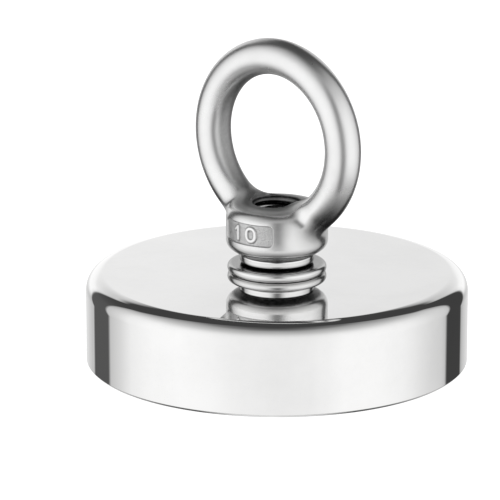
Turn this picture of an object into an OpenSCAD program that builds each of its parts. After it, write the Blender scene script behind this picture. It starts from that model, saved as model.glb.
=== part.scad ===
// Fishing magnet: a nickel-plated steel pot holds a neodymium ring magnet, which faces down.
// A countersunk socket screw comes up through the middle, and a cast eye nut for the rope
// screws onto it over a flat washer and a spring washer.
// Millimetres. The origin is the centre of the holding face, +Z is up through the eye,
// and the ring of the eye lies in the XZ plane.

/* [Pot] */
// Outside diameter of the steel pot
pot_d = 75; // [66:1:90]
// Height of the pot
pot_h = 18; // [16:0.5:22]
// Width of the pot's rim around the magnet
pot_wall = 5; // [3:0.5:6]
// Thickness of the pot's top
pot_roof = 6; // [4:0.5:7]
// Rounding of the top's outer edge
pot_edge_r = 3.5; // [1:0.25:3.75]
// Chamfer on the edge that stands on the floor
pot_foot_chamfer = 0.5; // [0.2:0.1:1]

/* [Magnet and resin] */
// Width of the resin-filled gap on each side of the ring magnet
resin_gap = 2; // [1:0.25:3]
// Chamfer on the magnet's exposed edges
magnet_chamfer = 0.4; // [0.2:0.1:0.8]
// How far the magnet's face lies behind the rim
magnet_recess = 0.2; // [0.1:0.05:0.5]
// How far the resin lies behind the rim
resin_recess = 0.4; // [0.1:0.05:0.8]
// Thickness of the adhesive film between the magnet and the pot
bond_t = 0.3; // [0.1:0.05:0.6]

/* [Centre bush] */
// Outside diameter of the bush that carries the screw's head
bush_d = 26; // [23:0.5:28]

/* [Screw] */
// Diameter of the screw's shank, taken at the middle of its M10 thread
shank_d = 9; // [8:0.25:9.25]
// Diameter of the countersunk head
head_d = 18.5; // [17:0.5:20]
// How far the head lies behind the holding face
head_recess = 0.3; // [0.1:0.1:0.6]
// Room between the head's cone and its seat, measured along the axis
head_room = 0.07; // [0.03:0.01:0.1]
// Width across the flats of the hexagon socket
socket_af = 6; // [5:0.5:8]
// Depth of the hexagon socket
socket_depth = 3.6; // [2.5:0.1:3.9]
// Chamfer on the tip of the screw
tip_chamfer = 0.8; // [0.4:0.1:1.2]
// How far the tip stays below the mouth of the eye nut's tapped hole
tip_drop = 1.5; // [0.5:0.1:3]
// Radial room around the shank in the pot and the bush, which the thread's crests share
hole_room = 0.75; // [0.6:0.05:1]
// Radial room between the screw and the eye nut in the thread
thread_room = 0.05; // [0.02:0.01:0.09]

/* [Washers] */
// Outside diameter of the flat washer
flat_washer_d = 19.4; // [17:0.2:22]
// Thickness of the flat washer
flat_washer_t = 1.8; // [1.4:0.1:2.4]
// Rounding of the flat washer's top edge
flat_washer_round = 0.8; // [0.3:0.1:1]
// Chamfer on the flat washer's lower edge
flat_washer_foot = 0.3; // [0.1:0.1:0.4]
// Outside diameter of the spring washer
spring_washer_d = 14.6; // [13:0.1:15.6]
// Thickness of the spring washer
spring_washer_t = 2; // [1.6:0.1:2.6]
// Chamfer on the spring washer's edges
spring_washer_chamfer = 0.5; // [0.1:0.05:0.6]
// Width of the slit in the spring washer
spring_slit = 0.9; // [0.5:0.1:1.5]
// Lean of the slit, away from upright
spring_slit_lean = 25; // [10:1:35]
// Direction of the slit, from +X
spring_slit_angle = 130; // [0:5:355]
// Radial room around the shank in both washers, which the thread's crests share
washer_room = 0.7; // [0.55:0.05:0.9]

/* [Eye nut] */
// Diameter of the eye nut's collar
collar_d = 20; // [18:0.5:22]
// Height of the collar's side, from the bearing face to its top edge
collar_h = 9.5; // [9:0.25:11]
// Diameter of the flat bearing face under the collar
bearing_d = 14.6; // [13.5:0.1:16]
// Rise of the slope from the bearing face to the collar's side
underside_rise = 1.6; // [1:0.1:2]
// Rounding of the collar's lower edge
lower_edge_r = 1; // [0.5:0.1:1.5]
// Rounding of the collar's upper edge
upper_edge_r = 0.9; // [0.5:0.1:1.2]
// Rise of the collar's top from its edge to its middle
crown_h = 1.1; // [0.4:0.1:1.6]
// Diameter of the chamfer at the mouth of the tapped hole
mouth_d = 10.3; // [9.5:0.1:11]
// Inside diameter of the ring
ring_inner_d = 26; // [24:0.5:30]
// Thickness of the ring's round bar
ring_bar_d = 7; // [6:0.25:8]
// Height of the ring's centre above the bearing face
ring_centre_h = 22.6; // [21.5:0.1:24]

/* [Size panel] */
// Width of the sunk panel on the collar
panel_w = 11.8; // [8:0.2:13]
// Height of the sunk panel
panel_h = 4.5; // [3:0.1:5]
// Depth of the sunk panel
panel_depth = 0.35; // [0.2:0.05:0.6]
// Corner radius of the sunk panel
panel_corner_r = 1; // [0.5:0.1:1.4]
// Height of the panel's middle above the bearing face
panel_centre_h = 5.9; // [5.4:0.1:6.2]

/* [Hidden] */
$fn = 96;
cut = 1; // how far a cutting shape runs past the face that it cuts

pot_r = pot_d / 2;
cavity_r = pot_r - pot_wall;
cavity_top = pot_h - pot_roof;
bush_r = bush_d / 2;
magnet_or = cavity_r - resin_gap;
magnet_ir = bush_r + resin_gap;
magnet_top = cavity_top - bond_t;

shank_r = shank_d / 2;
hole_r = shank_r + hole_room;
head_r = head_d / 2;
cone_foot_r = head_r + head_recess; // the head's 90 degree cone would meet the holding face here
seat_foot_r = cone_foot_r + head_room; // and the bush's seat does

washer_hole_r = shank_r + washer_room;
flat_washer_top = pot_h + flat_washer_t;
bearing_z = flat_washer_top + spring_washer_t;

collar_r = collar_d / 2;
bearing_r = bearing_d / 2;
thread_r = shank_r + thread_room;
collar_top = bearing_z + collar_h;
crown_top = collar_top + crown_h;
mouth_r = mouth_d / 2;
// the crown falls away from the axis, so the edge of the hole's mouth lies on its slope
mouth_z = crown_top - crown_h * mouth_r / (collar_r - upper_edge_r);
tip_z = mouth_z - tip_drop;
ring_bar_r = ring_bar_d / 2;
ring_r = ring_inner_d / 2 + ring_bar_r;
ring_z = bearing_z + ring_centre_h;

// A flat ring from z0 to z1 between two radii.
module annulus(outer, inner, z0, z1) {
    difference() {
        translate([0, 0, z0]) cylinder(r = outer, h = z1 - z0);
        translate([0, 0, z0 - cut]) cylinder(r = inner, h = z1 - z0 + 2 * cut);
    }
}

// Half a section of a disc whose top outer corner is an arc and whose foot has a chamfer.
module rounded_disc_section(r, h, corner_r, foot) {
    polygon([
        [0, 0], [r - foot, 0], [r, foot], [r, h - corner_r],
        [r - corner_r, h - corner_r], [r - corner_r, h], [0, h]
    ]);
    translate([r - corner_r, h - corner_r]) circle(r = corner_r);
}

// Steel cup, open downwards, with a clearance hole for the screw.
module pot_shell() {
    color("gainsboro")
    difference() {
        rotate_extrude() rounded_disc_section(pot_r, pot_h, pot_edge_r, pot_foot_chamfer);
        translate([0, 0, -cut]) cylinder(r = cavity_r, h = cavity_top + cut);
        cylinder(r = hole_r, h = pot_h + cut);
    }
}

// Neodymium ring. Both edges of its exposed face are chamfered.
module ring_magnet() {
    c = magnet_chamfer;
    color("silver")
    rotate_extrude()
    polygon([
        [magnet_ir + c, magnet_recess], [magnet_or - c, magnet_recess],
        [magnet_or, magnet_recess + c], [magnet_or, magnet_top],
        [magnet_ir, magnet_top], [magnet_ir, magnet_recess + c]
    ]);
}

// Adhesive film that holds the magnet against the pot's top.
module magnet_bond() {
    color("dimgray") annulus(magnet_or, magnet_ir, magnet_top, cavity_top);
}

// Resin cast between the magnet and the pot's rim.
module outer_resin() {
    color("black") annulus(cavity_r, magnet_or, resin_recess, cavity_top);
}

// Resin cast between the magnet and the centre bush.
module inner_resin() {
    color("black") annulus(magnet_ir, bush_r, resin_recess, cavity_top);
}

// Turned bush with the 90 degree seat for the screw's head.
module centre_bush() {
    color("darkgray")
    rotate_extrude()
    polygon([
        [seat_foot_r, 0], [bush_r, 0], [bush_r, cavity_top],
        [hole_r, cavity_top], [hole_r, seat_foot_r - hole_r]
    ]);
}

// Countersunk screw, head down, with a hexagon socket in its head.
module socket_screw() {
    color("silver")
    difference() {
        rotate_extrude()
        polygon([
            [0, head_recess], [head_r, head_recess], [shank_r, cone_foot_r - shank_r],
            [shank_r, tip_z - tip_chamfer], [shank_r - tip_chamfer, tip_z], [0, tip_z]
        ]);
        translate([0, 0, head_recess - cut])
            cylinder(r = socket_af / 2 / cos(30), h = socket_depth + cut, $fn = 6);
    }
}

// Flat washer with a rounded top edge and a chamfered foot.
module flat_washer() {
    color("lightgray")
    translate([0, 0, pot_h])
    difference() {
        rotate_extrude()
        rounded_disc_section(
            flat_washer_d / 2, flat_washer_t, flat_washer_round, flat_washer_foot
        );
        translate([0, 0, -cut]) cylinder(r = washer_hole_r, h = flat_washer_t + 2 * cut);
    }
}

// Spring washer, closed flat, with a leaning slit through one side.
module spring_washer() {
    r = spring_washer_d / 2;
    c = spring_washer_chamfer;
    t = spring_washer_t;
    color("gray")
    translate([0, 0, flat_washer_top])
    difference() {
        rotate_extrude()
        polygon([
            [washer_hole_r, 0], [r - c, 0], [r, c], [r, t - c], [r - c, t], [washer_hole_r, t]
        ]);
        rotate([0, 0, spring_slit_angle])
        translate([0, 0, t / 2])
        rotate([spring_slit_lean, 0, 0])
        translate([0, -spring_slit / 2, -t])
            cube([r + cut, spring_slit, 2 * t]);
    }
}

// Half a section of the collar, from its axis: bearing face, slope, side and crown.
module collar_section() {
    slope = atan2(underside_rise, collar_r - bearing_r);
    tangent = lower_edge_r * tan((90 - slope) / 2);
    lower_z = bearing_z + underside_rise + tangent;
    upper_z = collar_top - upper_edge_r;
    slope_end = [
        collar_r - tangent * cos(slope),
        bearing_z + underside_rise - tangent * sin(slope)
    ];
    polygon([
        [0, bearing_z], [bearing_r, bearing_z], slope_end,
        [collar_r - lower_edge_r, lower_z], [collar_r, lower_z],
        [collar_r, upper_z], [collar_r - upper_edge_r, upper_z],
        [collar_r - upper_edge_r, collar_top], [0, crown_top]
    ]);
    translate([collar_r - lower_edge_r, lower_z]) circle(r = lower_edge_r);
    translate([collar_r - upper_edge_r, upper_z]) circle(r = upper_edge_r);
}

// Round bar bent into the ring that the rope is tied to.
module eye_ring() {
    translate([0, 0, ring_z])
    rotate([90, 0, 0])
    rotate_extrude()
    translate([ring_r, 0]) circle(r = ring_bar_r);
}

// Rectangle with round corners, centred.
module rounded_rectangle(w, h, r) {
    square([w - 2 * r, h], center = true);
    square([w, h - 2 * r], center = true);
    for (x = [-1, 1], y = [-1, 1])
        translate([x * (w / 2 - r), y * (h / 2 - r)]) circle(r = r);
}

// What is cut from the collar's front for the panel.
module panel_cut() {
    intersection() {
        annulus(collar_r + cut, collar_r - panel_depth, bearing_z, collar_top);
        translate([0, 0, bearing_z + panel_centre_h])
        rotate([90, 0, 0])
        linear_extrude(height = collar_r + 2 * cut)
            rounded_rectangle(panel_w, panel_h, panel_corner_r);
    }
}

// Cast eye nut: the ring and the collar in one, tapped right through.
module eye_nut() {
    color("silver")
    difference() {
        union() {
            rotate_extrude() collar_section();
            eye_ring();
        }
        translate([0, 0, bearing_z - cut])
            cylinder(r = thread_r, h = crown_top - bearing_z + 2 * cut);
        translate([0, 0, mouth_z - (mouth_r - thread_r)])
            cylinder(r1 = thread_r, r2 = mouth_r + cut, h = mouth_r - thread_r + cut);
        panel_cut();
    }
}

pot_shell();
ring_magnet();
magnet_bond();
outer_resin();
inner_resin();
centre_bush();
socket_screw();
flat_washer();
spring_washer();
eye_nut();
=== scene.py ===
"""The looks of a fishing magnet: a mirror-bright nickel pot, a polished cast eye nut on its
two washers, and, underneath, the magnet, its resin and the countersunk screw.

Shapes are worked out in millimetres in the frame of the construction model, and made a mesh
in metres. Every metal piece is a surface over a grid of rows and columns."""

import math

import bmesh
import bpy
import numpy as np
from mathutils import Matrix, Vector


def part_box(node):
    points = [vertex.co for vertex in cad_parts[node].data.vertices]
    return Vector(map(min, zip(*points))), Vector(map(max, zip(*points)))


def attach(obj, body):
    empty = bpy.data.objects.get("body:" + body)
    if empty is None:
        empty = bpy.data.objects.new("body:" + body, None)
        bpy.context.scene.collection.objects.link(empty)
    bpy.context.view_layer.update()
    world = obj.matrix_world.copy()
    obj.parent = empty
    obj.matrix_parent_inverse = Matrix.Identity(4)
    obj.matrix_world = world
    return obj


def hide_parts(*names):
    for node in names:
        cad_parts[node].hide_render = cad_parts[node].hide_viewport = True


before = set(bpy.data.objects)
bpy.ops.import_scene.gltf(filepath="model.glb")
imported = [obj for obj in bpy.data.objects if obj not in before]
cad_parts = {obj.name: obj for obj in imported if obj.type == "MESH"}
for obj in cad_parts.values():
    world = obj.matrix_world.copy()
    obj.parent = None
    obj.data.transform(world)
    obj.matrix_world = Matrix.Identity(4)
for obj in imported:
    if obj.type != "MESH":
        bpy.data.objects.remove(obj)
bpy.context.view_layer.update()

MM = 0.001
TURN = 2 * math.pi


# ---------------------------------------------------------------- sizes taken from the frame


def radius_of(node, axis=0):
    """How far a construction node reaches along X, or along another axis, in millimetres."""
    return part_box(node)[1][axis] / MM


def foot_of(node):
    """Lowest height of a construction node, in millimetres."""
    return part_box(node)[0][2] / MM


def top_of(node):
    """Highest height of a construction node, in millimetres."""
    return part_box(node)[1][2] / MM


POT_R = radius_of("pot_shell")
POT_TOP = top_of("pot_shell")
CAVITY_R = radius_of("outer_resin")
CAVITY_TOP = top_of("outer_resin")
RESIN_FACE = foot_of("outer_resin")
MAGNET_R = radius_of("ring_magnet")
MAGNET_HOLE_R = radius_of("inner_resin")
MAGNET_FACE = foot_of("ring_magnet")
MAGNET_TOP = top_of("ring_magnet")
BUSH_R = radius_of("centre_bush")
HEAD_R = radius_of("socket_screw")
HEAD_FACE = foot_of("socket_screw")
SCREW_TIP = top_of("socket_screw")
WASHER_R = radius_of("flat_washer")
WASHER_TOP = top_of("flat_washer")
SPRING_R = radius_of("spring_washer")
BEARING_Z = top_of("spring_washer")
COLLAR_R = radius_of("eye_nut", axis=1)
EYE_R = radius_of("eye_nut")
EYE_Z = top_of("eye_nut") - EYE_R

# ---------------------------------------------------------------- sizes of the finer shapes

POT_EDGE = 3.5          # rounding of the pot's top edge
POT_FOOT = 0.5          # chamfer of its lowest edge
EASED = 0.15            # an edge that a file or a barrel has taken off
HOLE_R = 5.25           # clearance holes for the screw
BAR_R = 3.5             # the eye's round bar
RING_R = EYE_R - BAR_R  # the circle that the bar's middle follows
PITCH = 1.5             # M10 thread, right hand
THREAD_R = 5.0          # at the crests of the screw
THREAD_ROOT_R = 4.08    # at the bottom of its grooves
THREAD_PLAY = 0.05      # how much deeper the grooves of the eye nut are
NUT_CREST_R = 4.25      # at the crests of the eye nut
SHANK_R = 4.53          # the screw between its head and its thread
TIP_R = 3.73            # the flat end of the screw
SOCKET_AF = 6.0         # hexagon socket, across its flats
SOCKET_DEPTH = 3.6
SLIT = 0.9              # gap between the ends of the spring washer
SLIT_ANGLE = 130        # where it lies, in degrees round the axis from X
SLIT_LEAN = 25          # how far it leans, in degrees

# ---------------------------------------------------------------- surfaces


def smoothstep(low, high, x):
    """0 below low, 1 above high, and 3t^2 - 2t^3 in between."""
    t = np.clip((x - low) / (high - low), 0, 1)
    return t * t * (3 - 2 * t)


def spread(start, end, step, margin=0.05):
    """Parameters of points on a stretch: even ones about step apart, and one close to each end,
    so that shading stays flat up to the next curve."""
    length = end - start
    if length <= 4 * margin:
        return np.array([start + length / 2])
    count = max(2, int(math.ceil(length / step)) + 1)
    return np.linspace(start + margin, end - margin, count)


SHORTEST = 0.02  # a straight stretch shorter than this gets no points of its own


def outline(corners, closed, step=2.0, turn_step=9.0):
    """A path through corners given as (radius, height, rounding). Each corner becomes an arc of
    its rounding, tangent to both sides, with a point for about every turn_step degrees, or stays
    one point if its rounding is 0. Each straight stretch gets points about step apart. Returns an
    array of (radius, height)."""
    at = np.array([c[:2] for c in corners], float)
    count = len(corners)
    arcs = []
    for i in range(count):
        rounding = corners[i][2]
        if rounding == 0:
            arcs.append(at[i:i + 1])
            continue
        before = at[i] - at[i - 1]
        after = at[(i + 1) % count] - at[i]
        before /= np.linalg.norm(before)
        after /= np.linalg.norm(after)
        turn = math.atan2(before[0] * after[1] - before[1] * after[0], before @ after)
        reach = rounding * math.tan(abs(turn) / 2)
        side = math.copysign(1, turn)
        normal = side * np.array([-before[1], before[0]])
        centre = at[i] - before * reach + normal * rounding
        points = max(3, int(abs(math.degrees(turn)) / turn_step) + 2)
        t = np.linspace(0, turn, points)[:, None]
        spoke = -normal * rounding
        across = np.array([-spoke[1], spoke[0]])
        arcs.append(centre + spoke * np.cos(t) + across * np.sin(t))
    path = []
    for i in range(count if closed else count - 1):
        start, end = arcs[i][-1], arcs[(i + 1) % count][0]
        length = np.linalg.norm(end - start)
        path.append(arcs[i])
        if length > SHORTEST:
            share = spread(0, length, step) / length
            path.append(start + (end - start) * share[:, None])
    if not closed:
        path.append(arcs[-1])
    return np.concatenate(path)


def polar(radius, angles, heights):
    """Points given by their distance from the Z axis, their angle round it and their height. Any
    of the three may be one number for a whole row, column or grid."""
    radius, angles, heights = np.broadcast_arrays(radius, angles, heights)
    return np.stack([radius * np.cos(angles), radius * np.sin(angles), heights], axis=-1)


def revolve(path, angles):
    """The path of (radius, height) carried round the Z axis: one ring of points per path point."""
    return polar(path[:, 0, None], angles, path[:, 1, None])


def round_angles(count):
    """Evenly spaced angles of one turn."""
    return np.arange(count) * TURN / count


def grid_quads(index):
    """Four-cornered faces between neighbouring rows and columns of a grid of vertex numbers."""
    return np.stack([index[:-1, :-1], index[:-1, 1:], index[1:, 1:], index[1:, :-1]],
                    axis=-1).reshape(-1, 4)


def ring_faces(rings, partner=None, loop=False, start_pole=False, end_pole=False):
    """Points and faces of a skin over rings, an array of rows, columns and 3. Each ring is closed.
    The last column of row i joins the first column of row partner[i], which is row i unless the
    rows are the turns of a thread. loop joins the last row to the first, and a pole closes an
    open end with a fan round the middle of its ring."""
    rows, columns = rings.shape[:2]
    points = rings.reshape(-1, 3)
    index = np.arange(rows * columns).reshape(rows, columns)
    seam = index[:, 0] if partner is None else index[partner, 0]
    index = np.column_stack([index, seam])
    if loop:
        index = np.vstack([index, index[:1]])
    quads = grid_quads(index)
    fans = []
    for wanted, row, order in ((start_pole, 0, (1, 0)), (end_pole, -1, (0, 1))):
        if wanted:
            pole = np.full(columns, len(points))
            edge = (index[row, :-1], index[row, 1:])
            fans.append(np.stack([pole, edge[order[0]], edge[order[1]]], axis=-1))
            points = np.vstack([points, rings[row].mean(axis=0)])
    return points, quads, fans


def new_object(name, data):
    """A new object in the scene that holds a mesh, a lamp or a camera."""
    holder = bpy.data.objects.new(name, data)
    bpy.context.scene.collection.objects.link(holder)
    return holder


def make_piece(name, shells, body, node, material, values=None):
    """One Blender object from one or more closed shells of (points, quads, fans), in millimetres.
    It rides on body, stands for node and takes its finish from material. values are numbers
    per point that its material reads by name."""
    points, faces, offset = [], [], 0
    for shell_points, quads, fans in shells:
        points.append(shell_points)
        faces += (quads + offset).tolist()
        for fan in fans:
            faces += (fan + offset).tolist()
        offset += len(shell_points)
    mesh = bpy.data.meshes.new(name)
    mesh.from_pydata(np.concatenate(points) * MM, [], faces)
    mesh.shade_smooth()
    for key, numbers in (values or {}).items():
        attribute = mesh.attributes.new(key, "FLOAT", "POINT")
        attribute.data.foreach_set("value", numbers.astype(np.float32))
    piece = new_object(name, mesh)
    mesh.materials.append(material)
    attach(piece, body)
    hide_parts(node)
    return piece


def merge_points(piece, distance=1e-7):
    """Joins points that lie on each other, where rows of a thread run out at a flat end."""
    work = bmesh.new()
    work.from_mesh(piece.data)
    bmesh.ops.remove_doubles(work, verts=work.verts, dist=distance)
    work.to_mesh(piece.data)
    work.free()
    piece.data.shade_smooth()


# ---------------------------------------------------------------- the thread

THREAD_ROWS = 12  # rows of points in each turn of the thread


def thread_radius(angles, heights, crest, root, tip_flat=PITCH / 8):
    """Radius of a 60 degree thread: it falls by 1.732 times the distance along the axis from the
    middle of the ridge, and is cut flat at crest and root. The ridge climbs by the pitch in each
    turn, anticlockwise seen from above."""
    phase = heights / PITCH - angles / TURN
    along = np.abs(phase - np.round(phase)) * PITCH
    return np.clip(crest - math.sqrt(3) * (along - tip_flat / 2), root, crest)


def thread_rows(angles, low, high, upwards):
    """Heights of rows that follow the helix between two levels, stopped at both, and for each
    row the row that it meets after a full turn."""
    step = PITCH / THREAD_ROWS
    count = int(math.ceil((high - low + PITCH) / step)) + 1
    rows = np.arange(count)[:, None]
    climb = PITCH * angles / TURN
    if upwards:
        heights = low - PITCH + rows * step + climb
        partner = np.minimum(np.arange(count) + THREAD_ROWS, count - 1)
    else:
        heights = high - rows * step + climb
        partner = np.maximum(np.arange(count) - THREAD_ROWS, 0)
    return np.clip(heights, low, high), partner


# ---------------------------------------------------------------- materials: shared effects


class Nodes:
    """Adds nodes to a tree and wires them, so that each effect reads as a list of steps."""

    def __init__(self, tree):
        self.tree = tree

    def add(self, kind, **settings):
        """A new node with these settings."""
        node = self.tree.nodes.new(kind)
        for key, value in settings.items():
            setattr(node, key, value)
        return node

    def link(self, source, target):
        """A wire from one socket to another."""
        self.tree.links.new(source, target)

    def feed(self, socket, value):
        """Sets a socket to a plain value, or wires another socket to it."""
        if isinstance(value, bpy.types.NodeSocket):
            self.link(value, socket)
        elif value is not None:
            socket.default_value = value

    def math(self, operation, a, b=None, clamp=False):
        """A number worked out from one or two others."""
        node = self.add("ShaderNodeMath", operation=operation, use_clamp=clamp)
        self.feed(node.inputs[0], a)
        self.feed(node.inputs[1], b)
        return node.outputs[0]

    def vector(self, operation, a, b=None):
        """A vector, or its length or product, worked out from one or two others."""
        node = self.add("ShaderNodeVectorMath", operation=operation)
        self.feed(node.inputs[0], a)
        self.feed(node.inputs[1], b)
        return node.outputs["Value" if operation in ("DOT_PRODUCT", "LENGTH") else "Vector"]

    def ramp(self, value, low, high, to_low=0.0, to_high=1.0, kind="SMOOTHSTEP"):
        """A number carried from one range to another, and held at its ends."""
        node = self.add("ShaderNodeMapRange", interpolation_type=kind)
        for name, number in (("Value", value), ("From Min", low), ("From Max", high),
                             ("To Min", to_low), ("To Max", to_high)):
            self.feed(node.inputs[name], number)
        return node.outputs["Result"]

    def noise(self, vector, scale, detail=2.0, roughness=0.5, distortion=0.0):
        """Clouded noise between 0 and 1."""
        node = self.add("ShaderNodeTexNoise")
        for name, number in (("Vector", vector), ("Scale", scale), ("Detail", detail),
                             ("Roughness", roughness), ("Distortion", distortion)):
            self.feed(node.inputs[name], number)
        return node.outputs["Fac"]

    def stretched(self, vector, scale, turn):
        """Coordinates scaled along each axis, then turned."""
        node = self.add("ShaderNodeMapping")
        self.feed(node.inputs["Vector"], vector)
        self.feed(node.inputs["Scale"], scale)
        self.feed(node.inputs["Rotation"], turn)
        return node.outputs["Vector"]

    def group(self, tree, **values):
        """One of the shared effects, with values for its inputs."""
        node = self.add("ShaderNodeGroup", node_tree=tree)
        for name, value in values.items():
            self.feed(node.inputs[name], value)
        return node


def new_group(name, inputs, outputs):
    """An empty node group with float inputs, apart from Vector, and float outputs."""
    tree = bpy.data.node_groups.new(name, "ShaderNodeTree")
    for label, default in inputs:
        kind = "NodeSocketVector" if default is None else "NodeSocketFloat"
        socket = tree.interface.new_socket(label, in_out="INPUT", socket_type=kind)
        if default is not None:
            socket.default_value = default
    for label in outputs:
        tree.interface.new_socket(label, in_out="OUTPUT", socket_type="NodeSocketFloat")
    n = Nodes(tree)
    return tree, n, n.add("NodeGroupInput").outputs, n.add("NodeGroupOutput").inputs


def empty_tree(owner):
    """The node helper of a material or a world, once its own nodes are gone."""
    owner.use_nodes = True
    owner.node_tree.nodes.clear()
    return Nodes(owner.node_tree)


def hairline_scratches():
    """Fine straight scratches in three directions: noise drawn out along one axis, of which only
    the narrow peaks are kept, broken up by a slower noise."""
    tree, n, given, out = new_group(
        "hairline scratches", [("Vector", None), ("Density", 0.5), ("Fineness", 1.0)], ["Mask"])
    total = None
    for turn, seed in (((0.3, 0.2, 0.6), 1.0), ((1.1, 0.5, 1.9), 7.3), ((0.7, 1.3, 2.7), 13.9)):
        moved = n.vector("ADD", given["Vector"], (seed, seed * 0.7, seed * 1.3))
        drawn = n.stretched(moved, (1.0, 34.0, 34.0), turn)
        scale = n.math("MULTIPLY", given["Fineness"], 130.0)
        line = n.ramp(n.noise(drawn, scale, 2.0, 0.6), 0.66, 0.72)
        patch = n.noise(moved, 90.0, 1.0)
        kept = n.ramp(patch, n.math("SUBTRACT", 0.75, n.math("MULTIPLY", given["Density"], 0.4)),
                      0.85)
        stroke = n.math("MULTIPLY", line, kept)
        total = stroke if total is None else n.math("MAXIMUM", total, stroke)
    n.link(total, out["Mask"])
    return tree


def handling_marks():
    """Soft clouded patches left by cloths and fingers: two noises of different size."""
    tree, n, given, out = new_group("handling marks", [("Vector", None), ("Size", 1.0)], ["Mask"])
    scale = n.math("DIVIDE", 55.0, given["Size"])
    broad = n.noise(given["Vector"], scale, 3.0, 0.55, 0.4)
    fine = n.noise(given["Vector"], n.math("MULTIPLY", scale, 9.0), 4.0, 0.7)
    mixed = n.math("ADD", n.math("MULTIPLY", broad, 0.75), n.math("MULTIPLY", fine, 0.25))
    n.link(n.ramp(mixed, 0.36, 0.68), out["Mask"])
    return tree


def turning_marks():
    """Marks of a lathe: noise that depends on the distance from the Z axis and on the height,
    and hardly at all on the way round."""
    tree, n, given, out = new_group("turning marks", [("Vector", None), ("Fineness", 1.0)],
                                    ["Height"])
    parts = n.add("ShaderNodeSeparateXYZ")
    n.link(given["Vector"], parts.inputs[0])
    flat = n.add("ShaderNodeCombineXYZ")
    n.link(parts.outputs["X"], flat.inputs["X"])
    n.link(parts.outputs["Y"], flat.inputs["Y"])
    radius = n.vector("LENGTH", flat.outputs[0])
    around = n.math("ARCTAN2", parts.outputs["Y"], parts.outputs["X"])
    place = n.add("ShaderNodeCombineXYZ")
    n.link(radius, place.inputs["X"])
    n.link(parts.outputs["Z"], place.inputs["Y"])
    n.link(n.math("MULTIPLY", n.math("SINE", around), 0.00012), place.inputs["Z"])
    scale = n.math("MULTIPLY", given["Fineness"], 5200.0)
    n.link(n.noise(place.outputs[0], scale, 2.0, 0.75), out["Height"])
    return tree


def cast_skin():
    """What is left of a casting's skin after polishing: shallow waves and a faint finer ripple."""
    tree, n, given, out = new_group("cast skin", [("Vector", None), ("Size", 1.0)], ["Height"])
    scale = n.math("DIVIDE", 190.0, given["Size"])
    waves = n.noise(given["Vector"], scale, 2.0, 0.45)
    ripple = n.noise(given["Vector"], n.math("MULTIPLY", scale, 5.0), 3.0, 0.5)
    n.link(n.math("ADD", waves, n.math("MULTIPLY", ripple, 0.12)), out["Height"])
    return tree


def stipple():
    """Small raised grains, close together: the dome of each Voronoi cell."""
    tree, n, given, out = new_group("stipple", [("Vector", None), ("Fineness", 1.0)], ["Height"])
    cells = n.add("ShaderNodeTexVoronoi", feature="F1")
    n.link(given["Vector"], cells.inputs["Vector"])
    n.link(n.math("MULTIPLY", given["Fineness"], 3300.0), cells.inputs["Scale"])
    dome = n.ramp(cells.outputs["Distance"], 0.15, 0.75, 1.0, 0.0)
    grit = n.noise(given["Vector"], n.math("MULTIPLY", given["Fineness"], 7000.0), 2.0, 0.6)
    n.link(n.math("ADD", dome, n.math("MULTIPLY", grit, 0.5)), out["Height"])
    return tree


def painted_shade_mask():
    """Painted shade where light hardly reaches: a mask broken up a little by fine noise."""
    tree, n, given, out = new_group("painted shade mask", [("Vector", None), ("Mask", 0.0)], ["Mask"])
    grain = n.noise(given["Vector"], 1800.0, 3.0, 0.6)
    uneven = n.ramp(grain, 0.3, 0.7, 0.94, 1.06, "LINEAR")
    n.link(n.math("MULTIPLY", given["Mask"], uneven, clamp=True), out["Mask"])
    return tree


SCRATCHES = hairline_scratches()
HANDLING = handling_marks()
TURNING = turning_marks()
CAST_SKIN = cast_skin()
STIPPLE = stipple()
PAINTED_SHADE_MASK = painted_shade_mask()


def new_material(name):
    """A material with its Principled shader, its node helper and its Object coordinates."""
    material = bpy.data.materials.new(name)
    material.use_nodes = True
    n = Nodes(material.node_tree)
    shader = material.node_tree.nodes["Principled BSDF"]
    where = n.add("ShaderNodeTexCoord").outputs["Object"]
    return material, n, shader, where


def point_value(n, name):
    """A number that the piece's own points carry."""
    return n.add("ShaderNodeAttribute", attribute_name=name).outputs["Fac"]


def tint(n, value, dark, light):
    """A colour between two, chosen by value."""
    mix = n.add("ShaderNodeMix", data_type="RGBA")
    n.feed(mix.inputs["Factor"], value)
    mix.inputs["A"].default_value = (*dark, 1)
    mix.inputs["B"].default_value = (*light, 1)
    return mix.outputs["Result"]


def bump(n, height, distance, under=None):
    """The normal over a height, where 1 stands for distance metres, laid over the normal under."""
    node = n.add("ShaderNodeBump")
    n.feed(node.inputs["Height"], height)
    node.inputs["Strength"].default_value = 1.0
    node.inputs["Distance"].default_value = distance
    if under is not None:
        n.link(under, node.inputs["Normal"])
    return node.outputs["Normal"]


def darken(n, shader, where, amount, dark=(0.008, 0.008, 0.008)):
    """Paints shade: mixes the base colour towards dark by an amount that changes over the surface.
    """
    mask = n.group(PAINTED_SHADE_MASK, Vector=where, Mask=amount).outputs["Mask"]
    clean = shader.inputs["Base Color"].links[0].from_socket
    mix = n.add("ShaderNodeMix", data_type="RGBA")
    n.link(mask, mix.inputs["Factor"])
    n.link(clean, mix.inputs["A"])
    mix.inputs["B"].default_value = (*dark, 1)
    n.link(mix.outputs["Result"], shader.inputs["Base Color"])


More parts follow.
